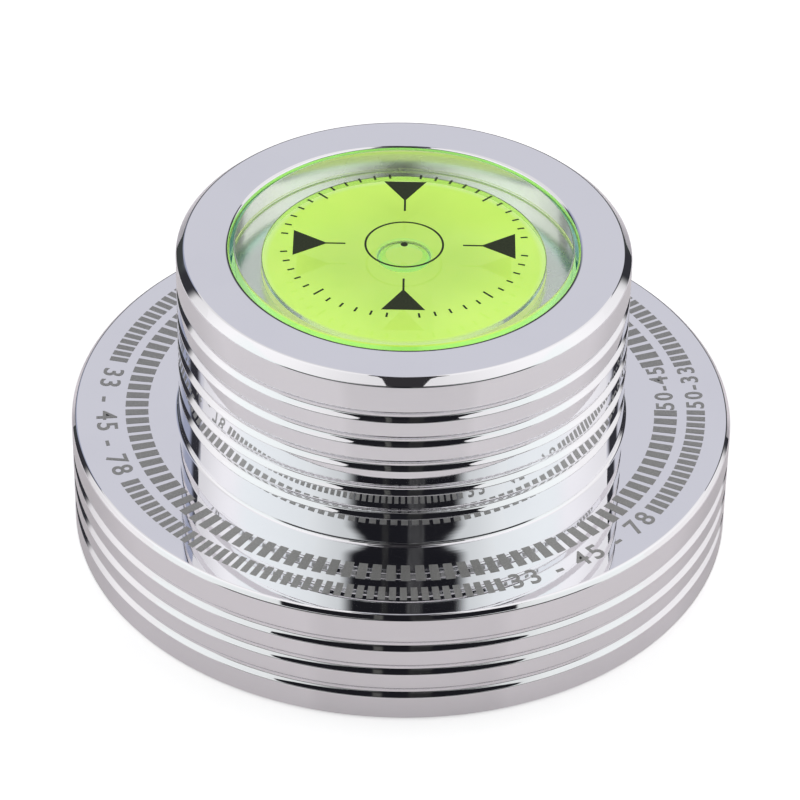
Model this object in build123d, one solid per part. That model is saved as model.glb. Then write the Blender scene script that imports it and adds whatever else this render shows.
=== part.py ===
from build123d import *
from math import cos, floor, radians, sin, sqrt, tan
import os

# A record weight: a turned body with a bullseye level on top and two rings of timing marks.
# Millimetres, +Z up. The origin is the centre of the pad's underside, where the weight rests.
# Sizes run from the middle outwards and from the level down, so each piece follows its seat.

# Bullseye level
bubble_diameter = 6.0
bubble_depth = 1.3
liquid_under_bubble = 0.6
cavity_diameter = 31.6
cavity_roof_radius = 200.0
roof_steps = 4
roof_thickness = 2.9
vial_wall = 3.6
vial_edge_chamfer = 0.6
vial_base_thickness = 2.0
vial_base_clearance = 0.05
adhesive_thickness = 0.2
adhesive_margin = 1.5

# Printed reticle on the level
print_thickness = 0.02
print_line = 0.24
centre_dot_diameter = 0.8
ring_to_bubble = 1.3
pointer_length = 3.8
pointer_base_width = 4.8
pointer_line_length = 2.0
tick_count = 48
tick_length = 0.8
tick_bold_length = 1.5
tick_margin = 5.6

# Barrel
vial_clearance = 0.1
vial_inset = 0.05
recess_edge_chamfer = 0.3
rim_width = 5.8
barrel_height = 22.3
barrel_edge_chamfer = 0.85
barrel_top_band = 4.18
neck_height = 3.0
neck_chamfer = 0.25

# Base disc
base_height = 14.4
base_edge_chamfer = 0.5
base_foot_chamfer = 0.15
base_top_band = 3.43
base_bottom_band = 2.0

# Turned grooves, the same tool on barrel and base
groove_pitch = 3.3
groove_depth = 0.48
groove_root_width = 0.42

# Timing marks on the base's top face, counted once round
mark_thickness = 0.03
mark_share = 0.64
inner_mark_count = 120
outer_mark_count = 180
neck_to_marks = 3.5
inner_mark_length = 2.6
mark_ring_gap = 1.1
outer_mark_length = 2.1
marks_to_edge = 2.9
numeral_gap_angles = (90.0, 104.0)
plain_gap_angles = ((-102.0, -64.0), (20.0, 56.0), (140.0, 176.0))

# Underside
spindle_bore_diameter = 7.4
spindle_bore_depth = 18.0
spindle_mouth_chamfer = 0.8
drill_point_angle = 118.0
pad_thickness = 1.5
pad_proud = 0.25
pad_clearance = 0.1
bore_to_pad = 8.3
pad_to_edge = 4.5

# Places that follow from the sizes above
vial_radius = cavity_diameter / 2 + vial_wall
recess_radius = vial_radius + vial_clearance
barrel_radius = recess_radius + rim_width
inner_marks_radius = barrel_radius + neck_to_marks
outer_marks_radius = inner_marks_radius + inner_mark_length + mark_ring_gap
base_radius = outer_marks_radius + outer_mark_length + marks_to_edge

base_top = pad_proud + base_height
body_top = base_top + barrel_height
vial_top = body_top - vial_inset
cavity_top = vial_top - roof_thickness
vial_base_top = cavity_top - bubble_depth - liquid_under_bubble
vial_bottom = vial_base_top - vial_base_thickness
recess_floor = vial_bottom - adhesive_thickness

groove_width = groove_root_width + 2 * groove_depth
bore_radius = spindle_bore_diameter / 2
pad_recess_top = pad_thickness
pad_recess_inner = bore_radius + bore_to_pad
pad_recess_outer = base_radius - pad_to_edge


def turned_outline(points):
    """Turn a closed half-section, given as radius and height, about the upright axis."""
    return revolve(Plane.XZ * make_face(Polyline(*points, close=True)), Axis.Z)


def groove_tops(land_top, top_band, land_bottom, bottom_band):
    """Upper edges of the grooves that fit on a land, from the top down."""
    room = land_top - top_band - groove_width - bottom_band - land_bottom
    count = floor(room / groove_pitch) + 1
    return [land_top - top_band - i * groove_pitch for i in range(count)]


def groove_outline(radius, top):
    """One groove from its lower edge up: a flat root between two 45 degree sides."""
    root = radius - groove_depth
    return [
        (radius, top - groove_width),
        (root, top - groove_width + groove_depth),
        (root, top - groove_depth),
        (radius, top),
    ]


def base_outline():
    """Half-section of the base disc from the axis to the foot of the barrel."""
    points = [
        (0, pad_proud),
        (base_radius - base_foot_chamfer, pad_proud),
        (base_radius, pad_proud + base_foot_chamfer),
    ]
    for top in reversed(groove_tops(base_top, base_top_band, pad_proud, base_bottom_band)):
        points += groove_outline(base_radius, top)
    points += [
        (base_radius, base_top - base_edge_chamfer),
        (base_radius - base_edge_chamfer, base_top),
        (barrel_radius + neck_chamfer, base_top),
    ]
    return points


def barrel_outline():
    """Half-section of the barrel from its foot to the axis at the top."""
    points = [(barrel_radius, base_top + neck_chamfer)]
    for top in reversed(groove_tops(body_top, barrel_top_band, base_top, neck_height)):
        points += groove_outline(barrel_radius, top)
    points += [
        (barrel_radius, body_top - barrel_edge_chamfer),
        (barrel_radius - barrel_edge_chamfer, body_top),
        (0, body_top),
    ]
    return points


def turned_blank():
    """The body's outside: base and barrel in one profile, with a fine chamfer between them."""
    return turned_outline(base_outline() + barrel_outline())


def vial_recess():
    """Pocket for the level, open at the top, with a small chamfer round its mouth."""
    return turned_outline([
        (0, recess_floor),
        (recess_radius, recess_floor),
        (recess_radius, body_top - recess_edge_chamfer),
        (recess_radius + recess_edge_chamfer, body_top),
        (0, body_top),
    ])


def spindle_bore():
    """Blind drilled hole for the turntable's spindle, with a chamfered mouth."""
    bore_top = pad_proud + spindle_bore_depth
    point_height = bore_radius / tan(radians(drill_point_angle / 2))
    return turned_outline([
        (0, pad_proud),
        (bore_radius + spindle_mouth_chamfer, pad_proud),
        (bore_radius, pad_proud + spindle_mouth_chamfer),
        (bore_radius, bore_top),
        (0, bore_top + point_height),
    ])


def ring(inner, outer, bottom, top):
    """A plain ring of rectangular section."""
    return turned_outline([(inner, bottom), (outer, bottom), (outer, top), (inner, top)])


def weight_body():
    """The turned body: blank, level recess, spindle bore and pad recess."""
    pad_recess = ring(pad_recess_inner, pad_recess_outer, pad_proud, pad_recess_top)
    return turned_blank() - vial_recess() - spindle_bore() - pad_recess


def record_pad():
    """Soft ring in the underside, standing a little proud of the metal."""
    return ring(pad_recess_inner + pad_clearance, pad_recess_outer - pad_clearance, 0, pad_thickness)


def roof_height(radius):
    """Height of the cavity's domed roof at a distance from the axis."""
    return cavity_top - cavity_roof_radius + sqrt(cavity_roof_radius**2 - radius**2)


def roof_outline():
    """The dome from the axis out, in steps that stay within a hundredth of a millimetre of it."""
    radii = [cavity_diameter / 2 * step / roof_steps for step in range(roof_steps + 1)]
    return [(radius, roof_height(radius)) for radius in radii]


def vial_body():
    """Clear block with a chamfered top edge and a domed cavity that opens downwards."""
    cavity_radius = cavity_diameter / 2
    return turned_outline([
        (cavity_radius, vial_bottom),
        (vial_radius, vial_bottom),
        (vial_radius, vial_top - vial_edge_chamfer),
        (vial_radius - vial_edge_chamfer, vial_top),
        (0, vial_top),
        *roof_outline(),
    ])


def vial_base():
    """Disc that closes the cavity from below and shows through the liquid."""
    radius = cavity_diameter / 2 - vial_base_clearance
    return ring(0, radius, vial_bottom, vial_base_top)


def bubble():
    """The bubble, flattened under the roof: a slice off a ball, with its flat side up."""
    radius = bubble_diameter / 2
    top = roof_height(radius)
    depth = top - (cavity_top - bubble_depth)
    ball_radius = (radius**2 + depth**2) / (2 * depth)
    ball = Pos(0, 0, top - depth + ball_radius) * Sphere(ball_radius)
    return ball & Pos(0, 0, cavity_top) * Cylinder(2 * ball_radius, 2 * (cavity_top - top + depth))


def vial_liquid():
    """Liquid that fills the cavity round the bubble."""
    cavity_radius = cavity_diameter / 2
    full = turned_outline([
        (0, vial_base_top),
        (cavity_radius, vial_base_top),
        *reversed(roof_outline()),
    ])
    return full - bubble()


def vial_adhesive():
    """Double-sided disc that holds the level to the floor of its recess."""
    radius = cavity_diameter / 2 - adhesive_margin
    return ring(0, radius, recess_floor, vial_bottom)


def azimuth(angle):
    """Turn a sketch to a place round the axis: 0 is the front, -Y, and 90 is +X."""
    return Rotation(0, 0, angle)


def on_front(points):
    """A flat outline drawn as (sideways, distance from the axis) at the front."""
    return make_face(Polyline(*[(x, -r) for x, r in points], close=True))


def reticle_tick(length):
    """A scale line that ends at the reticle's outer edge."""
    outer = vial_radius - tick_margin
    half = print_line / 2
    return on_front([(-half, outer), (half, outer), (half, outer - length), (-half, outer - length)])


def reticle_pointer():
    """A solid arrowhead that points inwards, with a thin line from its tip."""
    base = vial_radius - tick_margin - tick_bold_length
    tip = base - pointer_length
    half = print_line / 2
    head = on_front([(-pointer_base_width / 2, base), (pointer_base_width / 2, base), (0, tip)])
    end = tip - pointer_line_length
    line = on_front([(-half, base), (half, base), (half, end), (-half, end)])
    return head + line


def vial_reticle():
    """Printed centre dot, bubble ring, four pointers and a scale of ticks."""
    ring_radius = bubble_diameter / 2 + ring_to_bubble
    design = Circle(centre_dot_diameter / 2)
    design += Circle(ring_radius + print_line / 2) - Circle(ring_radius - print_line / 2)
    for i in range(4):
        design += azimuth(i * 90) * reticle_pointer()
    quarter = tick_count // 4
    for i in range(tick_count):
        if i % quarter:
            length = tick_bold_length if i % (quarter // 2) == 0 else tick_length
            design += azimuth(i * 360 / tick_count) * reticle_tick(length)
    return extrude(Pos(0, 0, vial_top) * design, print_thickness)


def in_gap(angle, gaps):
    """True where a mark at this azimuth would fall in one of the gaps."""
    turned_angle = (angle + 180) % 360 - 180
    return any(low <= turned_angle <= high for low, high in gaps)


def timing_marks(count, inner, length, gaps):
    """A ring of thin bars that narrow inwards, with a space at the front and none in the gaps."""
    pitch = 360 / count
    half_angle = radians(pitch * mark_share / 2)
    bar = on_front([
        (side * radius * sin(half_angle), radius * cos(half_angle))
        for side, radius in ((-1, inner), (1, inner), (1, inner + length), (-1, inner + length))
    ])
    angles = [pitch / 2 + i * pitch for i in range(count)]
    bars = [azimuth(angle) * bar for angle in angles if not in_gap(angle, gaps)]
    return extrude(Pos(0, 0, base_top) * Sketch(children=bars), mark_thickness)


os.makedirs("parts", exist_ok=True)
nodes = {
    "weight_body": weight_body(),
    "vial_body": vial_body(),
    "vial_base": vial_base(),
    "vial_liquid": vial_liquid(),
    "vial_adhesive": vial_adhesive(),
    "vial_reticle": vial_reticle(),
    "strobe_marks_inner": timing_marks(
        inner_mark_count, inner_marks_radius, inner_mark_length, [numeral_gap_angles]
    ),
    "strobe_marks_outer": timing_marks(
        outer_mark_count,
        outer_marks_radius,
        outer_mark_length,
        [numeral_gap_angles, *plain_gap_angles],
    ),
    "record_pad": record_pad(),
}
for name, solid in nodes.items():
    export_step(solid, f"parts/{name}.step")
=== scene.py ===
import math

import bpy
import numpy as np
from mathutils import Matrix


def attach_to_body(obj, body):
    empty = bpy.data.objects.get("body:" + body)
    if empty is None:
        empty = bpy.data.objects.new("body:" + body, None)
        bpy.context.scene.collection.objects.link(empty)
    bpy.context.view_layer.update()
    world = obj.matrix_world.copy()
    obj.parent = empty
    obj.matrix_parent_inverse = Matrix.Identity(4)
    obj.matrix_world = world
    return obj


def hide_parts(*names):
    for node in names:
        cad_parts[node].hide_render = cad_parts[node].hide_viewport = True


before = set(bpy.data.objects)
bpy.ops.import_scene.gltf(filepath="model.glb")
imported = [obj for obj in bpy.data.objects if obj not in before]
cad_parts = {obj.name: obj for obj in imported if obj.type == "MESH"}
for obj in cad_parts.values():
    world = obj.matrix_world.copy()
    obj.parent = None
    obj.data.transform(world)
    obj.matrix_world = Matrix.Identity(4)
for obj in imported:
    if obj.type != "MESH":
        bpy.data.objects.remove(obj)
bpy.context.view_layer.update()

# Sizes of the record weight in millimetres, as the turned part has them. Z is 0 under the pad.
MM = 0.001
BASE_RADIUS, BASE_BOTTOM, BASE_TOP = 37.5, 0.25, 14.65
BARREL_RADIUS, BODY_TOP = 25.3, 36.95
BASE_GROOVES = (11.22, 7.92, 4.62)
BARREL_GROOVES = (32.77, 29.47, 26.17, 22.87, 19.57)
GROOVE_WIDTH, GROOVE_DEPTH = 1.38, 0.48
GROOVE_SIDE = ((44.1, 3), (45.0, 3), (44.4, 3), (43.2, 3), (40.5, 1.6), (34, 0.7), (24, 0.7), (12, 0.7))
RECESS_RADIUS, RECESS_FLOOR = 19.5, 29.9
BORE_RADIUS, BORE_TOP, BORE_POINT = 3.7, 18.25, 20.473
PAD_INNER, PAD_OUTER, PAD_TOP = 12.0, 33.0, 1.5
VIAL_RADIUS, VIAL_TOP, VIAL_BOTTOM = 19.4, 36.9, 30.1
CAVITY_RADIUS, CAVITY_TOP, DOME_RADIUS = 15.8, 34.0, 200.0
VIAL_BASE_TOP = 32.1
BUBBLE_RADIUS, BUBBLE_DEPTH, BUBBLE_WAIST = 3.05, 1.3, 0.55
MARK_THICKNESS = 0.03
OUTER_RING, INNER_RING = 33.55, 30.1

# Edges: how far each cuts in or down. The rim's edge has a pair, in and down, for each of its three corners
BORE_CHAMFER, FOOT_CHAMFER, VIAL_CHAMFER = 0.8, 0.15, 0.6
BASE_EDGE_IN, BASE_EDGE_DOWN = 0.49, 0.51
RIM_EDGE = ((0.0, 0.82), (0.66, 0.19), (0.9, 0.0))
NECK_OUT, NECK_UP = 0.3, 0.25
LIP_WIDTH, LIP_DROP = 0.6, 0.27

# How far corners are eased and how many sides the turned pieces have
METAL_EASING, CLEAR_EASING, INNER_EASING = 0.15, 0.12, 0.02
METAL_SIDES, LEVEL_SIDES = 384, 256
# Depth to which the liquid and the plug overlap the clear block, so that light passes from one to the other
FILM = 0.03


# Turned pieces

def eased_outline(points, easing):
    """Outline (radius, height) with each corner cut back along both edges and bridged by three points.

    At a corner b between a and c the points are b + t(a - b)/|a - b|, the middle of the parabola through
    them with b as its control point, and b + t(c - b)/|c - b|, where t is the easing but at most 0.45 of
    either edge. Corners that turn less than 15 degrees are steps of a curve and stay one point each.
    The direction that faces out is the edge's own, turned a quarter clockwise, and at the middle their sum.
    """
    points = np.asarray(points, float)
    edges = np.diff(points, axis=0)
    lengths = np.linalg.norm(edges, axis=1)
    along = edges / lengths[:, None]
    facing = np.stack([along[:, 1], -along[:, 0]], 1)
    before, after = along[:-1], along[1:]
    room = 0.45 * np.minimum(lengths[:-1], lengths[1:])
    curved = (before * after).sum(1) > math.cos(math.radians(15))
    setback = np.where(curved, 0.0, np.minimum(easing, room))[:, None]
    corner = points[1:-1]
    first, last = corner - setback * before, corner + setback * after
    middle = (first + 2 * corner + last) / 4
    between = facing[:-1] + facing[1:]
    between /= np.linalg.norm(between, axis=1)[:, None]
    kept = np.stack([~curved, np.ones(len(curved), bool), ~curved], 1).reshape(-1)
    bridged = np.stack([first, middle, last], 1).reshape(-1, 2)[kept]
    faced = np.stack([facing[:-1], between, facing[1:]], 1).reshape(-1, 2)[kept]
    return (
        np.concatenate([points[:1], bridged, points[-1:]]),
        np.concatenate([facing[:1], faced, facing[-1:]]),
    )


def new_mesh_object(name, points, faces, facing=None):
    """Object at the origin whose mesh has these points in millimetres, with the way each one faces."""
    mesh = bpy.data.meshes.new(name)
    mesh.from_pydata((np.asarray(points) * MM).tolist(), [], faces)
    mesh.validate()
    mesh.update()
    if facing is not None:
        mesh.polygons.foreach_set("use_smooth", np.ones(len(mesh.polygons), bool))
        mesh.normals_split_custom_set_from_vertices(np.asarray(facing).tolist())
    piece = bpy.data.objects.new(name, mesh)
    bpy.context.scene.collection.objects.link(piece)
    return piece


def sweep(pairs, spin):
    """Turns pairs (outward, up) round the axis, to points or directions (x, y, z) for each pair and side."""
    flat = pairs[:, None, :1] * spin
    up = np.broadcast_to(pairs[:, None, 1:], flat[..., :1].shape)
    return np.concatenate([flat, up], 2).reshape(-1, 3)


def turned_piece(name, outline, easing, sides):
    """Solid of revolution: point (i, j) is (r_i cos a_j, r_i sin a_j, z_i), with a_j = 2 pi j / sides.

    The outline starts and ends on the axis, where a fan of triangles closes it: the first fan faces down
    and the last one up. It runs with the solid on its left.
    """
    outline, facing = eased_outline(outline, easing)
    rings = outline[1:-1]
    angle = 2 * math.pi * np.arange(sides) / sides
    spin = np.stack([np.cos(angle), np.sin(angle)], 1)
    poles = [[0, 0, outline[0, 1]], [0, 0, outline[-1, 1]]]
    points = np.concatenate([sweep(rings, spin), poles])
    facing = np.concatenate([sweep(facing[1:-1], spin), [[0, 0, -1], [0, 0, 1]]])
    index = np.arange(len(rings) * sides).reshape(-1, sides)
    lower, upper = index[:-1], index[1:]
    quads = np.stack([lower, np.roll(lower, -1, 1), np.roll(upper, -1, 1), upper], 2).reshape(-1, 4)
    first, last = index[0], index[-1]
    foot, head = np.full(sides, index.size), np.full(sides, index.size + 1)
    faces = quads.tolist()
    faces += np.stack([foot, np.roll(first, -1), first], 1).tolist()
    faces += np.stack([last, np.roll(last, -1), head], 1).tolist()
    return new_mesh_object(name, points, faces, facing)


def grooved_wall(radius, tops):
    """Wall of a disc from its lowest groove up: each has two sides at about 45 degrees and a flat root.

    The lower side follows GROOVE_SIDE, pairs of the degrees above level that a length faces and its share.
    A length L that faces e steps in by L sin e and up by L cos e, and all are scaled to end at the root.
    """
    leans, shares = np.array(GROOVE_SIDE).T
    leans = np.radians(leans)
    lengths = shares * GROOVE_DEPTH / (shares * np.sin(leans)).sum()
    inwards, upwards = np.cumsum(lengths * np.sin(leans)), np.cumsum(lengths * np.cos(leans))
    points = []
    for top in reversed(tops):
        foot = top - GROOVE_WIDTH
        points += [(radius, foot), *zip(radius - inwards, foot + upwards)]
        points += [(radius - GROOVE_DEPTH, top - GROOVE_DEPTH), (radius, top)]
    return points


def flared_foot(radius, height, reach=2.8, flare=0.038, steps=5):
    """Foot of the barrel, upwards: the wall widens by flare times the square of the way down over reach."""
    up = np.linspace(0, 1, steps)
    return np.stack([radius + flare * (1 - up) ** 2, height + reach * up], 1).tolist()


def rounded_lip(radius, height, width, drop, steps=10):
    """Mouth of a bore, inwards: a quarter ellipse from the face above, width wide, to the wall, drop deep."""
    turn = np.linspace(0, math.pi / 2, steps)
    return np.stack([radius + width * (1 - np.sin(turn)), height - drop * (1 - np.cos(turn))], 1).tolist()


def body_outline():
    """Half-section of the turned body, from the drilled bore out and round to the recess floor."""
    bore = [
        (0, BORE_POINT), (BORE_RADIUS, BORE_TOP),
        (BORE_RADIUS, BASE_BOTTOM + BORE_CHAMFER), (BORE_RADIUS + BORE_CHAMFER, BASE_BOTTOM),
    ]
    underside = [
        (PAD_INNER, BASE_BOTTOM), (PAD_INNER, PAD_TOP), (PAD_OUTER, PAD_TOP), (PAD_OUTER, BASE_BOTTOM),
        (BASE_RADIUS - FOOT_CHAMFER, BASE_BOTTOM), (BASE_RADIUS, BASE_BOTTOM + FOOT_CHAMFER),
    ]
    base_edge = [(BASE_RADIUS, BASE_TOP - BASE_EDGE_DOWN), (BASE_RADIUS - BASE_EDGE_IN, BASE_TOP)]
    rim_edge = [(BARREL_RADIUS - inwards, BODY_TOP - down) for inwards, down in RIM_EDGE]
    return [
        *bore, *underside, *grooved_wall(BASE_RADIUS, BASE_GROOVES), *base_edge,
        (BARREL_RADIUS + NECK_OUT, BASE_TOP), *flared_foot(BARREL_RADIUS, BASE_TOP + NECK_UP),
        *grooved_wall(BARREL_RADIUS, BARREL_GROOVES), *rim_edge,
        *rounded_lip(RECESS_RADIUS, BODY_TOP, LIP_WIDTH, LIP_DROP),
        (RECESS_RADIUS, RECESS_FLOOR), (0, RECESS_FLOOR),
    ]


def dome_height(radius):
    """Height of the cavity's roof: a ball of DOME_RADIUS whose top is at CAVITY_TOP."""
    return CAVITY_TOP - DOME_RADIUS + np.sqrt(DOME_RADIUS**2 - np.asarray(radius) ** 2)


def dome_outline(inner, outer, lift, steps=12):
    """The roof from an inner radius outwards, raised by lift."""
    radii = np.linspace(inner, outer, steps)
    return np.stack([radii, dome_height(radii) + lift], 1).tolist()


def vial_block():
    """The clear block as one closed skin: the domed cavity, open below, the underside and the outside."""
    outline = [
        (0, float(dome_height(0))), *dome_outline(1.2, CAVITY_RADIUS, 0),
        (CAVITY_RADIUS, VIAL_BOTTOM), (VIAL_RADIUS, VIAL_BOTTOM), (VIAL_RADIUS, VIAL_TOP - VIAL_CHAMFER),
        (VIAL_RADIUS - VIAL_CHAMFER, VIAL_TOP), (0, VIAL_TOP),
    ]
    return turned_piece("vial_block", outline, CLEAR_EASING, LEVEL_SIDES)


def bubble_outline(steps=18):
    """The bubble from its rim at the roof to its lowest point: part of an ellipse about its waist.

    Radius is BUBBLE_RADIUS cos a and depth is BUBBLE_WAIST + (BUBBLE_DEPTH - BUBBLE_WAIST) sin a,
    with a from where the depth is 0, above the waist, to a quarter turn at the axis.
    """
    drop = BUBBLE_DEPTH - BUBBLE_WAIST
    turn = np.linspace(-math.asin(BUBBLE_WAIST / drop), math.pi / 2, steps + 1)
    radii = BUBBLE_RADIUS * np.cos(turn)
    radii[-1] = 0
    return np.stack([radii, CAVITY_TOP - BUBBLE_WAIST - drop * np.sin(turn)], 1).tolist()


def liquid_fill():
    """The liquid, with its roof and wall a film inside the block and the bubble as a hollow in its top."""
    wall = CAVITY_RADIUS + FILM
    hollow = bubble_outline()
    roof = dome_outline(hollow[0][0], wall, FILM)[::-1]
    outline = [(0, VIAL_BASE_TOP - FILM), (wall, VIAL_BASE_TOP - FILM), *roof, *hollow]
    return turned_piece("liquid_fill", outline, INNER_EASING, LEVEL_SIDES)


def level_plug():
    """The disc that closes the level, with its wall a film inside the block."""
    wall = CAVITY_RADIUS + FILM
    outline = [(0, VIAL_BOTTOM), (wall, VIAL_BOTTOM), (wall, VIAL_BASE_TOP), (0, VIAL_BASE_TOP)]
    return turned_piece("level_plug", outline, INNER_EASING, LEVEL_SIDES)


# Shader helpers

BLACK = (0, 0, 0, 1)


def attach(tree, value, socket):
    """Links an output to a socket, or writes a plain value into it."""
    if isinstance(value, bpy.types.NodeSocket):
        tree.links.new(value, socket)
    else:
        socket.default_value = value


def calc(tree, operation, *values):
    """One maths node on outputs or numbers."""
    node = tree.nodes.new("ShaderNodeMath")
    node.operation = operation
    for socket, value in zip(node.inputs, values):
        attach(tree, value, socket)
    return node.outputs[0]


def product(tree, first, *others):
    """All the values multiplied."""
    for other in others:
        first = calc(tree, "MULTIPLY", first, other)
    return first


def apart(tree, first, second):
    """How far two values are from each other."""
    return calc(tree, "ABSOLUTE", calc(tree, "SUBTRACT", first, second))


def axis_distance(tree, x, y):
    """Distance from the turning axis."""
    return calc(tree, "SQRT", calc(tree, "ADD", product(tree, x, x), product(tree, y, y)))


def ease(tree, value, low, high, to_low=0.0, to_high=1.0):
    """Smooth ramp of a value between two ends."""
    node = tree.nodes.new("ShaderNodeMapRange")
    node.interpolation_type = "SMOOTHSTEP"
    for socket, number in zip(node.inputs[:5], (value, low, high, to_low, to_high)):
        attach(tree, number, socket)
    return node.outputs[0]


def blend_colours(tree, factor, first, second):
    """First colour where the factor is 0 and second where it is 1."""
    node = tree.nodes.new("ShaderNodeMix")
    node.data_type = "RGBA"
    attach(tree, factor, node.inputs[0])
    attach(tree, first, node.inputs[6])
    attach(tree, second, node.inputs[7])
    return node.outputs[2]


def dimmed(tree, level, colour):
    """A colour at a level from 0 to 1, which is black at 0."""
    return blend_colours(tree, level, BLACK, colour)


def noise(tree, place, scale, detail=2.0, roughness=0.5):
    """Height of a noise pattern at a place."""
    node = tree.nodes.new("ShaderNodeTexNoise")
    attach(tree, place, node.inputs["Vector"])
    attach(tree, scale, node.inputs["Scale"])
    node.inputs["Detail"].default_value = detail
    node.inputs["Roughness"].default_value = roughness
    return node.outputs["Fac"]


def vector(tree, x, y, z):
    """Vector from three values."""
    node = tree.nodes.new("ShaderNodeCombineXYZ")
    for socket, value in zip(node.inputs, (x, y, z)):
        attach(tree, value, socket)
    return node.outputs[0]


def split(tree, place):
    """The three values of a vector."""
    node = tree.nodes.new("ShaderNodeSeparateXYZ")
    tree.links.new(place, node.inputs[0])
    return node.outputs[:3]


def object_place(tree):
    """The surface point in the object's own coordinates, in metres."""
    return tree.nodes.new("ShaderNodeTexCoord").outputs["Object"]


def new_finish(name, **sockets):
    """Material with one Principled shader, and its node tree."""
    material = bpy.data.materials.new(name)
    material.use_nodes = True
    shader = material.node_tree.nodes["Principled BSDF"]
    for socket, value in sockets.items():
        shader.inputs[socket.replace("_", " ")].default_value = value
    return material, material.node_tree, shader


def bump(tree, shader, height, distance):
    """Relief on the surface, with the distance in metres that a height of 1 stands for."""
    node = tree.nodes.new("ShaderNodeBump")
    node.inputs["Strength"].default_value = 1.0
    node.inputs["Distance"].default_value = distance
    attach(tree, height, node.inputs["Height"])
    tree.links.new(node.outputs[0], shader.inputs["Normal"])


def new_group(name, inputs, outputs):
    """Empty node group with number or vector inputs and outputs, its tree and its two end nodes."""
    tree = bpy.data.node_groups.new(name, "ShaderNodeTree")
    for label, kind in inputs:
        tree.interface.new_socket(label, in_out="INPUT", socket_type=kind)
    for label in outputs:
        tree.interface.new_socket(label, in_out="OUTPUT", socket_type="NodeSocketFloat")
    return tree, tree.nodes.new("NodeGroupInput"), tree.nodes.new("NodeGroupOutput")


def use_group(tree, group, **values):
    """Places a node group and feeds its inputs, whose names have spaces for underscores."""
    node = tree.nodes.new("ShaderNodeGroup")
    node.node_tree = group
    for label, value in values.items():
        attach(tree, value, node.inputs[label.replace("_", " ")])
    return node


def make_lathe_lines():
    """Fine rings that a cutting tool leaves: noise over radius and height, nearly the same all round."""
    inputs = [("Place", "NodeSocketVector"), ("Lines per metre", "NodeSocketFloat")]
    tree, start, end = new_group("lathe_lines", inputs, ["Height", "Radius"])
    x, y, z = split(tree, start.outputs["Place"])
    radius = axis_distance(tree, x, y)
    round_it = calc(tree, "MULTIPLY", calc(tree, "ARCTAN2", y, x), 0.0006)
    where = vector(tree, radius, calc(tree, "ADD", z, 0.5), round_it)
    lines = noise(tree, where, start.outputs["Lines per metre"], 3.0, 0.6)
    tree.links.new(lines, end.inputs["Height"])
    tree.links.new(radius, end.inputs["Radius"])
    return tree


def make_handling():
    """Soft cloudy patches of a surface that was wiped and handled."""
    inputs = [("Place", "NodeSocketVector"), ("Patch scale", "NodeSocketFloat")]
    tree, start, end = new_group("handling", inputs, ["Cloud"])
    cloud = noise(tree, start.outputs["Place"], start.outputs["Patch scale"], 4.0, 0.55)
    tree.links.new(ease(tree, cloud, 0.42, 0.68), end.inputs["Cloud"])
    return tree


lathe_lines = make_lathe_lines()
handling = make_handling()


# Finishes

def polished_metal():
    """Bright polished metal: a mirror with faint tool rings, duller on the base and satin in the recess,
    where a painted green tint stands for the dyed level's light on it.
    """
    material, tree, shader = new_finish("polished_metal", Metallic=1.0)
    place = object_place(tree)
    lines = use_group(tree, lathe_lines, Place=place, Lines_per_metre=2600.0)
    patches = use_group(tree, handling, Place=place, Patch_scale=90.0)
    _, _, z = split(tree, place)
    above_floor = ease(tree, z, (RECESS_FLOOR - 0.7) * MM, (RECESS_FLOOR - 0.3) * MM)
    below_lip = ease(tree, z, (BODY_TOP - 0.35) * MM, (BODY_TOP - 0.55) * MM)
    within_wall = calc(tree, "LESS_THAN", lines.outputs["Radius"], (RECESS_RADIUS + 0.1) * MM)
    recess = product(tree, above_floor, below_lip, within_wall)
    rough = ease(tree, patches.outputs["Cloud"], 0.0, 1.0, 0.02, 0.04)
    rough = calc(tree, "ADD", rough, product(tree, recess, 0.24))
    attach(tree, rough, shader.inputs["Roughness"])
    tone = blend_colours(tree, patches.outputs["Cloud"], (0.905, 0.905, 0.93, 1), (0.89, 0.89, 0.918, 1))
    base = ease(tree, z, (BASE_TOP - 0.05) * MM, (BASE_TOP - 0.25) * MM)
    tone = blend_colours(tree, base, tone, (0.86, 0.85, 0.875, 1))
    # Painted light: the green tint in the recess stands for the dyed level's light on the metal there
    tone = blend_colours(tree, recess, tone, (0.82, 0.86, 0.79, 1))
    attach(tree, tone, shader.inputs["Base Color"])
    relief = calc(tree, "ADD", 1.0, product(tree, recess, 4.0))
    bump(tree, shader, product(tree, lines.outputs["Height"], relief), 0.0000003)
    return material


def laser_mark():
    """Metal frosted by a laser: dark grey, dull, with close hatching and a fine grain."""
    hatch_pitch = 0.12 * MM
    material, tree, shader = new_finish("laser_mark", Metallic=0.8, Roughness=0.45)
    place = object_place(tree)
    x, y, _ = split(tree, place)
    hatch = calc(tree, "SINE", product(tree, calc(tree, "ADD", x, y), 2 * math.pi / hatch_pitch))
    grain = noise(tree, place, 6000.0, 3.0, 0.6)
    mottle = ease(tree, calc(tree, "ADD", product(tree, hatch, 0.1), grain), 0.3, 0.75)
    tone = blend_colours(tree, mottle, (0.34, 0.34, 0.33, 1), (0.5, 0.5, 0.485, 1))
    attach(tree, tone, shader.inputs["Base Color"])
    attach(tree, ease(tree, grain, 0.3, 0.7, 0.38, 0.52), shader.inputs["Roughness"])
    bump(tree, shader, calc(tree, "ADD", product(tree, hatch, 0.3), grain), 0.000004)
    return material


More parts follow.
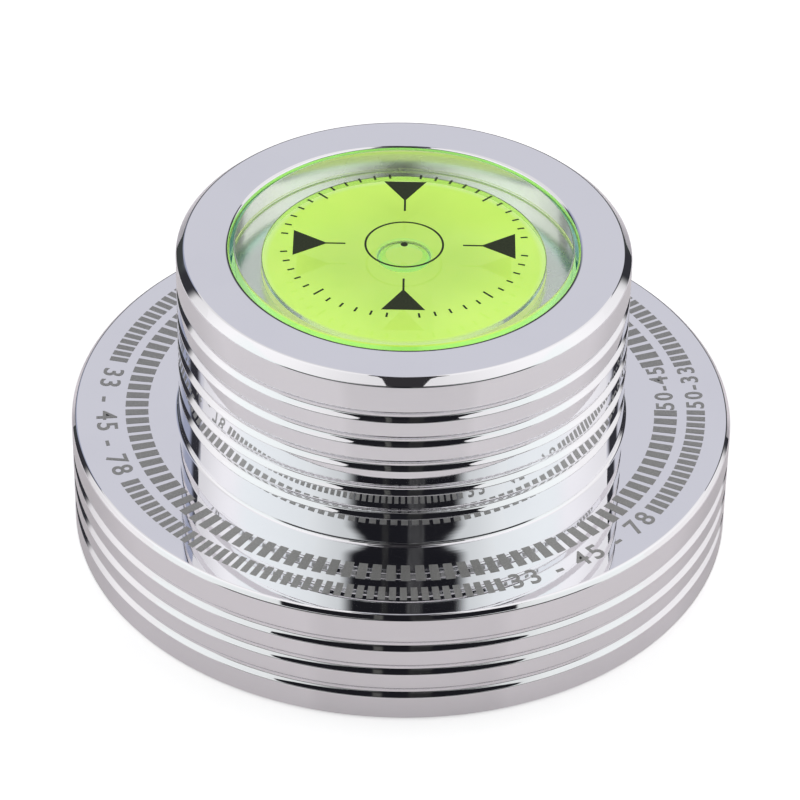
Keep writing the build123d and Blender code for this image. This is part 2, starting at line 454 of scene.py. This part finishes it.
def clear_finish(name, colour, shade, ior, painted_light_bands):
    """Clear material whose own shadow only tints the light, so that what lies inside it is lit.

    Dyed light is painted at its corners. Each band is the radii between which and the height above which
    it is painted, in millimetres, with the painted tint and the faint painted glow there.
    """
    soft = 0.1 * MM
    material, tree, shader = new_finish(name, Roughness=0.0, IOR=ior, Transmission_Weight=1.0)
    place = object_place(tree)
    patches = use_group(tree, handling, Place=place, Patch_scale=140.0)
    paler = tuple(min(1.0, part * 1.02) for part in colour[:3]) + (1,)
    tone, painted_glow = blend_colours(tree, patches.outputs["Cloud"], colour, paler), BLACK
    x, y, z = split(tree, place)
    radius = axis_distance(tree, x, y)
    # Each band paints the dye's light: its tint and glow are painted light, not the material's own colour
    for inner, outer, bottom, painted_tint, glow in painted_light_bands:
        past_inner = ease(tree, radius, inner * MM, inner * MM + soft)
        before_outer = ease(tree, radius, outer * MM, outer * MM - soft)
        over_bottom = ease(tree, z, bottom * MM, bottom * MM + soft)
        there = product(tree, past_inner, before_outer, over_bottom)
        tone, painted_glow = blend_colours(tree, there, tone, painted_tint), blend_colours(tree, there, painted_glow, glow)
    attach(tree, tone, shader.inputs["Base Color"])
    attach(tree, painted_glow, shader.inputs["Emission Color"])
    shader.inputs["Emission Strength"].default_value = 1.0
    rays = tree.nodes.new("ShaderNodeLightPath")
    straight = calc(tree, "MAXIMUM", rays.outputs["Is Shadow Ray"], rays.outputs["Is Diffuse Ray"])
    passing = tree.nodes.new("ShaderNodeBsdfTransparent")
    passing.inputs[0].default_value = shade
    mixed = tree.nodes.new("ShaderNodeMixShader")
    tree.links.new(straight, mixed.inputs[0])
    tree.links.new(shader.outputs[0], mixed.inputs[1])
    tree.links.new(passing.outputs[0], mixed.inputs[2])
    tree.links.new(mixed.outputs[0], tree.nodes["Material Output"].inputs["Surface"])
    return material


def clear_acrylic():
    """The block: a pale wall tinted green and a blue-green rim with a faint glow, both painted light of the
    dye.
    """
    # Painted light of the dye: a green tint on the wall, and a blue-green tint with a faint glow on the rim
    wall = (VIAL_RADIUS - 0.55, VIAL_RADIUS + 0.6, VIAL_BOTTOM - 0.1, (0.94, 0.98, 0.92, 1), BLACK)
    painted_rim = (VIAL_RADIUS - 0.55, VIAL_RADIUS + 0.6, VIAL_TOP - 0.8, (0.5, 0.89, 0.82, 1), (0, 0.08, 0.06, 1))
    return clear_finish("clear_acrylic", (0.97, 1.0, 0.97, 1), (0.95, 0.98, 0.95, 1), 1.49, [wall, painted_rim])


def level_liquid():
    """The dyed liquid: yellow-green, with painted shade that makes it greyer at its wall and a painted bluer
    ring with a faint painted glow on the skin of the bubble.
    """
    # Painted shade at the liquid's wall, and painted light, a bluer tint with a faint glow, on the bubble's
    # skin
    wall = (CAVITY_RADIUS - 0.1, CAVITY_RADIUS + 0.2, VIAL_BASE_TOP - 0.1, (0.82, 0.93, 0.84, 1), BLACK)
    skin_top = CAVITY_TOP - 1.6
    painted_skin_ring = (BUBBLE_RADIUS - 0.4, BUBBLE_RADIUS + 0.15, skin_top, (0.66, 0.95, 0.78, 1), (0, 0.03, 0.02, 1))
    return clear_finish("level_liquid", (0.8, 0.99, 0.72, 1), (0.93, 0.99, 0.85, 1), 1.38, [wall, painted_skin_ring])


def fluorescent_base_with_painted_glow():
    """Moulded yellow-green plastic, which is fluorescent; its glow is painted as emission that grows towards
    its edge, where its colour is also painted paler.
    """
    material, tree, shader = new_finish("fluorescent_base_with_painted_glow", Roughness=0.45)
    place = object_place(tree)
    flow = noise(tree, place, 160.0, 4.0, 0.6)
    x, y, _ = split(tree, place)
    radius = axis_distance(tree, x, y)
    colour = blend_colours(tree, ease(tree, flow, 0.3, 0.7), (0.74, 0.95, 0.13, 1), (0.78, 0.98, 0.15, 1))
    # Painted light: paler colour near the edge
    edge = ease(tree, radius, (CAVITY_RADIUS - 0.9) * MM, CAVITY_RADIUS * MM)
    colour = blend_colours(tree, edge, colour, (0.82, 0.97, 0.36, 1))
    attach(tree, colour, shader.inputs["Base Color"])
    # Painted glow: emission that grows from the middle towards the edge
    level = ease(tree, radius, 5 * MM, 15 * MM, 0.235, 0.41)
    attach(tree, dimmed(tree, level, colour), shader.inputs["Emission Color"])
    shader.inputs["Emission Strength"].default_value = 1.0
    bump(tree, shader, flow, 0.00002)
    return material


def adhesive_foam():
    """Off-white foam tape with fine open cells."""
    material, tree, shader = new_finish("adhesive_foam", Roughness=0.85)
    cells = noise(tree, object_place(tree), 3200.0, 2.0, 0.5)
    colour = blend_colours(tree, ease(tree, cells, 0.35, 0.65), (0.72, 0.72, 0.69, 1), (0.86, 0.86, 0.83, 1))
    attach(tree, colour, shader.inputs["Base Color"])
    bump(tree, shader, cells, 0.00003)
    return material


def printed_ink():
    """Screen-printed ink: near black, slightly uneven, with a satin surface."""
    material, tree, shader = new_finish("printed_ink", Roughness=0.4, Specular_IOR_Level=0.2)
    grain = noise(tree, object_place(tree), 5200.0, 3.0, 0.55)
    patchy = ease(tree, grain, 0.35, 0.7)
    colour = blend_colours(tree, patchy, (0.024, 0.034, 0.012, 1), (0.042, 0.054, 0.024, 1))
    attach(tree, colour, shader.inputs["Base Color"])
    bump(tree, shader, grain, 0.000002)
    return material


def soft_rubber():
    """Dark rubber with a fine leathery grain."""
    material, tree, shader = new_finish("soft_rubber", Roughness=0.75)
    place = object_place(tree)
    cells = tree.nodes.new("ShaderNodeTexVoronoi")
    cells.inputs["Scale"].default_value = 1500.0
    tree.links.new(place, cells.inputs["Vector"])
    height = calc(tree, "ADD", cells.outputs["Distance"], product(tree, noise(tree, place, 700.0, 3.0), 0.5))
    colour = blend_colours(tree, height, (0.02, 0.02, 0.02, 1), (0.045, 0.045, 0.043, 1))
    attach(tree, colour, shader.inputs["Base Color"])
    bump(tree, shader, height, 0.00006)
    return material


# The object's pieces

def dress(piece, finish, slot, *nodes):
    """Gives a new piece its finish and its body, and hides the nodes that it stands for. The slot is not
    used.
    """
    piece.data.materials.append(finish)
    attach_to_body(piece, "root")
    if nodes:
        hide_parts(*nodes)


def refinish(node, finish):
    """Puts a finish on a CAD node in place of its plain colour."""
    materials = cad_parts[node].data.materials
    materials.clear()
    materials.append(finish)


NUMERAL_CAP_SHARE, NUMERAL_WEIGHT, NUMERAL_SPACING = 0.7, 0.045, 1.24


def flat_numerals(text, height):
    """Flat mesh of one row of numerals, and its corners (x, y) with the middle of the row at 0."""
    curve = bpy.data.curves.new("numerals", "FONT")
    curve.body, curve.size = text, height / NUMERAL_CAP_SHARE
    curve.align_x, curve.align_y = "CENTER", "CENTER"
    curve.resolution_u = 4
    curve.offset, curve.space_character = NUMERAL_WEIGHT, NUMERAL_SPACING
    letters = bpy.data.objects.new("numerals", curve)
    bpy.context.scene.collection.objects.link(letters)
    bpy.context.view_layer.update()
    flat = bpy.data.meshes.new_from_object(letters)
    bpy.data.objects.remove(letters)
    corners = np.zeros(len(flat.vertices) * 3)
    flat.vertices.foreach_get("co", corners)
    corners = corners.reshape(-1, 3)[:, :2]
    corners[:, 1] -= (corners[:, 1].min() + corners[:, 1].max()) / 2
    return flat, corners


def numeral_row(text, middle, radius, height):
    """One row as points and faces: its flat mesh bent round the axis, a copy below it, and walls between.

    A corner (x, y) goes to azimuth b = middle + x / radius and reach radius - y, at (reach sin b,
    -reach cos b). A wall stands on each edge that only one flat face has.
    """
    flat, corners = flat_numerals(text, height)
    azimuth = math.radians(middle) + corners[:, 0] / radius
    reach = radius - corners[:, 1]
    ring = np.stack([reach * np.sin(azimuth), -reach * np.cos(azimuth)], 1)
    count = len(ring)
    top = np.column_stack([ring, np.full(count, BASE_TOP + MARK_THICKNESS)])
    bottom = np.column_stack([ring, np.full(count, BASE_TOP)])
    faces, uses = [], {}
    for face in flat.polygons:
        loop = list(face.vertices)
        faces += [loop, [count + corner for corner in reversed(loop)]]
        for edge in face.edge_keys:
            uses[edge] = uses.get(edge, 0) + 1
    for face in flat.polygons:
        loop = list(face.vertices)
        for a, b in zip(loop, loop[1:] + loop[:1]):
            if uses[tuple(sorted((a, b)))] == 1:
                faces.append([b, a, count + a, count + b])
    return np.concatenate([top, bottom]), faces


def numeral_band(name, rows):
    """Numerals round the base's top. Each row is text, azimuth of its middle, ring radius and height."""
    points, faces = [], []
    for row in rows:
        start = sum(len(part) for part in points)
        row_points, row_faces = numeral_row(*row)
        points.append(row_points)
        faces += [[start + corner for corner in face] for face in row_faces]
    return new_mesh_object(name, np.concatenate(points), faces)


metal, mark = polished_metal(), laser_mark()
body = turned_piece("turned_body", body_outline(), METAL_EASING, METAL_SIDES)
dress(body, metal, "polished_metal", "weight_body")
dress(vial_block(), clear_acrylic(), "clear_acrylic", "vial_body")
dress(liquid_fill(), level_liquid(), "level_liquid", "vial_liquid")
dress(level_plug(), fluorescent_base_with_painted_glow(), "level_base", "vial_base")
refinish("vial_adhesive", adhesive_foam())
refinish("vial_reticle", printed_ink())
refinish("strobe_marks_inner", mark)
refinish("strobe_marks_outer", mark)
refinish("record_pad", soft_rubber())
numerals = numeral_band("speed_numerals", [
    ("50-33", 97.1, OUTER_RING, 2.0),
    ("50-45", 97.4, INNER_RING, 2.05),
    ("33 - 45 - 78", -83.0, OUTER_RING, 2.3),
    ("33 - 45 - 78", 38.0, OUTER_RING, 2.3),
    ("33 - 45 - 78", 158.0, OUTER_RING, 2.3),
])
dress(numerals, mark, "laser_mark")


# Stage, light and camera

DIFFUSER_HEIGHT = 180
DAYLIGHT = (1.0, 0.985, 0.99, 1)


def azimuth_degrees(tree, x, y):
    """Azimuth round the weight in degrees: 0 in front, 90 at the right and 180 behind."""
    return calc(tree, "DEGREES", calc(tree, "ARCTAN2", x, calc(tree, "MULTIPLY", y, -1.0)))


def side_light(tree, azimuth):
    """Brightness of the windows and diffusers by azimuth: most at the sides, less in front and behind."""
    front = ease(tree, calc(tree, "ABSOLUTE", azimuth), 10.0, 84.0, 0.82, 1.05)
    left = ease(tree, azimuth, -92.0, -124.0, 1.0, 0.77)
    right = ease(tree, azimuth, 92.0, 130.0, 1.0, 0.86)
    return product(tree, front, left, right)


def paper_floor():
    """White paper under the weight. Metal sees it as the studio lights it, with painted shade in front and
    behind, lighter at the sides, and a faint painted glow; the camera sees it as white.
    """
    far = 3000
    corners = [(-far, -far, 0), (far, -far, 0), (far, far, 0), (-far, far, 0)]
    floor = new_mesh_object("floor", corners, [[0, 1, 2, 3]])
    material, tree, shader = new_finish("floor_paper", Roughness=0.9, Specular_IOR_Level=0.0)
    rays = tree.nodes.new("ShaderNodeLightPath")
    seen = calc(tree, "MAXIMUM", rays.outputs["Is Camera Ray"], rays.outputs["Is Transmission Ray"])
    x, y, _ = split(tree, object_place(tree))
    # A ray that the wall throws down runs at an azimuth further round than where it lands
    further = calc(tree, "ADD", 0.2, calc(tree, "DIVIDE", 0.066, axis_distance(tree, x, y)))
    side = apart(tree, product(tree, azimuth_degrees(tree, x, y), further), 4.0)
    # Painted shade and light on the paper as metal sees it: darker in front and behind, a little lighter at
    # the sides
    shaded_front = ease(tree, side, 26.0, 40.0, 0.865, 1.0)
    shaded_back = ease(tree, side, 84.0, 150.0, 1.06, 0.8)
    level = product(tree, shaded_front, shaded_back)
    lit = dimmed(tree, level, (0.925, 0.875, 0.885, 1))
    attach(tree, blend_colours(tree, seen, lit, (0.93, 0.93, 0.93, 1)), shader.inputs["Base Color"])
    # Painted glow on the paper as metal sees it, dimmed with the painted shade; the camera's even glow keeps
    # it white
    glow = dimmed(tree, level, (0.105, 0.105, 0.108, 1))
    attach(tree, blend_colours(tree, seen, glow, (0.53, 0.53, 0.53, 1)), shader.inputs["Emission Color"])
    shader.inputs["Emission Strength"].default_value = 1.0
    floor.data.materials.append(material)


def diffuser(name, corners):
    """White diffuser panel overhead, flat, with corners (x, y). Its outer front part is a little cooler."""
    points = [(x, y, DIFFUSER_HEIGHT) for x, y in corners]
    panel = new_mesh_object(name, points, [list(range(len(corners)))])
    material = bpy.data.materials.new(name)
    material.use_nodes = True
    tree = material.node_tree
    tree.nodes.remove(tree.nodes["Principled BSDF"])
    glow = tree.nodes.new("ShaderNodeEmission")
    x, y, _ = split(tree, object_place(tree))
    azimuth = azimuth_degrees(tree, x, y)
    front = ease(tree, calc(tree, "ABSOLUTE", azimuth), 95.0, 80.0)
    outer_front = product(tree, ease(tree, axis_distance(tree, x, y), 170 * MM, 190 * MM), front)
    colour = blend_colours(tree, outer_front, DAYLIGHT, (0.945, 0.985, 0.975, 1))
    attach(tree, colour, glow.inputs["Color"])
    attach(tree, side_light(tree, azimuth), glow.inputs["Strength"])
    tree.links.new(glow.outputs[0], tree.nodes["Material Output"].inputs["Surface"])
    panel.data.materials.append(material)
    panel.visible_camera = False


def dark_front(tree, direction, azimuth, elevation):
    """The unlit front of the room, nearly black, with two pale stands that end below the diffusers."""
    left = ease(tree, apart(tree, azimuth, -7.0), 2.2, 1.2)
    right = ease(tree, apart(tree, azimuth, 8.7), 5.0, 3.2)
    stands = product(tree, calc(tree, "MAXIMUM", left, right), ease(tree, elevation, 54.5, 53.0))
    upper, top = ease(tree, elevation, 41.0, 47.0), ease(tree, elevation, 50.0, 54.0)
    left_tone = blend_colours(tree, upper, (0.03, 0.03, 0.03, 1), (0.095, 0.095, 0.09, 1))
    right_tone = blend_colours(tree, upper, (0.072, 0.072, 0.072, 1), (0.03, 0.03, 0.03, 1))
    stand_tone = blend_colours(tree, ease(tree, azimuth, -1.0, 1.0), left_tone, right_tone)
    worn = ease(tree, noise(tree, direction, 45.0, 3.0, 0.6), 0.35, 0.65, 0.0, 0.5)
    stand_tone = blend_colours(tree, worn, stand_tone, (0.012, 0.012, 0.014, 1))
    dark = blend_colours(tree, top, (0.012, 0.012, 0.015, 1), (0.034, 0.032, 0.035, 1))
    return blend_colours(tree, stands, dark, stand_tone)


def window_edge(tree, elevation):
    """Degrees from the middle of the dark front to where the side windows start.

    They start at 28 to 30 between elevations of 38 and 40.6. They come nearer by 37 and by 42, and they
    go far round above 43 and below 30.
    """
    level_part = ease(tree, elevation, 39.2, 39.9, 28.0, 30.0)
    nearer_above = ease(tree, elevation, 40.6, 43.0, 0.0, 12.0)
    above = product(tree, calc(tree, "MAXIMUM", calc(tree, "SUBTRACT", elevation, 42.2), 0.0), 34.0)
    below = calc(tree, "MAXIMUM", calc(tree, "SUBTRACT", 38.0, elevation), 0.0)
    nearer_below = product(tree, calc(tree, "MINIMUM", below, 4.0), 4.5)
    far_below = ease(tree, elevation, 30.0, 24.0, 0.0, 50.0)
    further = calc(tree, "ADD", above, far_below)
    nearer = calc(tree, "ADD", nearer_above, nearer_below)
    return calc(tree, "SUBTRACT", calc(tree, "ADD", level_part, further), nearer)


def dark_gaps(tree, azimuth, elevation):
    """The dark slits between the side windows and the back wall, which lean as they go up."""
    left_middle = calc(tree, "SUBTRACT", -123.5, product(tree, elevation, 0.25))
    right_middle = calc(tree, "ADD", 137.0, product(tree, elevation, 0.16))
    left = ease(tree, apart(tree, azimuth, left_middle), 9.5, 3.5)
    right = ease(tree, apart(tree, azimuth, right_middle), 9.5, 4.5)
    return calc(tree, "MAXIMUM", left, right)


def room(tree, direction):
    """Brightness of the studio round the weight by azimuth, 0 in front and 180 behind, and elevation."""
    x, y, z = split(tree, direction)
    azimuth = azimuth_degrees(tree, x, y)
    elevation = calc(tree, "DEGREES", calc(tree, "ARCSINE", z))
    side = apart(tree, azimuth, 3.2)
    from_side = ease(tree, calc(tree, "ABSOLUTE", azimuth), 75.0, 95.0)
    glass = blend_colours(tree, from_side, (0.95, 0.985, 0.97, 1), DAYLIGHT)
    level = product(tree, side_light(tree, azimuth), ease(tree, side, 27.0, 54.0, 0.84, 1.0))
    window = dimmed(tree, level, glass)
    open_side = ease(tree, calc(tree, "SUBTRACT", side, window_edge(tree, elevation)), -4.0, 5.0)
    colour = blend_colours(tree, open_side, dark_front(tree, direction, azimuth, elevation), window)
    lit = ease(tree, elevation, 22.0, 31.0)
    wall = blend_colours(tree, lit, (0.05, 0.055, 0.055, 1), (0.645, 0.645, 0.705, 1))
    colour = blend_colours(tree, ease(tree, azimuth, -118.0, -126.0), colour, wall)
    colour = blend_colours(tree, ease(tree, azimuth, 126.0, 138.0), colour, wall)
    # A dim bluish corner behind the left window
    left_end, right_end = ease(tree, azimuth, -166.0, -150.0), ease(tree, azimuth, -130.0, -138.0)
    corner = product(tree, left_end, right_end, ease(tree, elevation, 8.0, 20.0))
    colour = blend_colours(tree, corner, colour, (0.36, 0.385, 0.5, 1))
    return blend_colours(tree, dark_gaps(tree, azimuth, elevation), colour, (0.035, 0.035, 0.042, 1))


def light_studio():
    """World that shows white to the camera and the studio to everything else."""
    world = bpy.data.worlds.new("studio")
    world.use_nodes = True
    bpy.context.scene.world = world
    tree = world.node_tree
    direction = tree.nodes.new("ShaderNodeTexCoord").outputs["Generated"]
    rays = tree.nodes.new("ShaderNodeLightPath")
    seen = rays.outputs["Is Camera Ray"]
    colour = blend_colours(tree, seen, room(tree, direction), (1, 1, 1, 1))
    tree.links.new(colour, tree.nodes["Background"].inputs["Color"])
    tree.nodes["Background"].inputs["Strength"].default_value = 1.0


def place_camera():
    """Camera at the photograph's angle: 37.41 degrees down from 456.8 mm, with its slight roll."""
    down, distance, roll, aim = math.radians(37.41), 456.8, math.radians(1.03), 14.31
    data = bpy.data.cameras.new("camera")
    data.lens, data.sensor_width = 180.2, 36.0
    data.shift_x, data.shift_y = -0.00165, 0.0082
    data.clip_start, data.clip_end = 0.01, 10.0
    camera = bpy.data.objects.new("camera", data)
    bpy.context.scene.collection.objects.link(camera)
    spot = Matrix.Translation((0, -distance * math.cos(down) * MM, (aim + distance * math.sin(down)) * MM))
    camera.matrix_world = spot @ Matrix.Rotation(math.pi / 2 - down, 4, "X") @ Matrix.Rotation(roll, 4, "Z")
    bpy.context.scene.camera = camera


paper_floor()
diffuser("diffuser_left", [
    (-17, -127.5), (-340, -208.7), (-340, 75), (-75, 150), (-13, 150), (-13, 20), (-28, -60),
])
diffuser("diffuser_right", [
    (24, -125.9), (41, -62), (13, 20), (13, 150), (95, 150), (340, 120), (340, -162.0),
])
light_studio()
place_camera()
bpy.context.scene.view_settings.view_transform = "Standard"
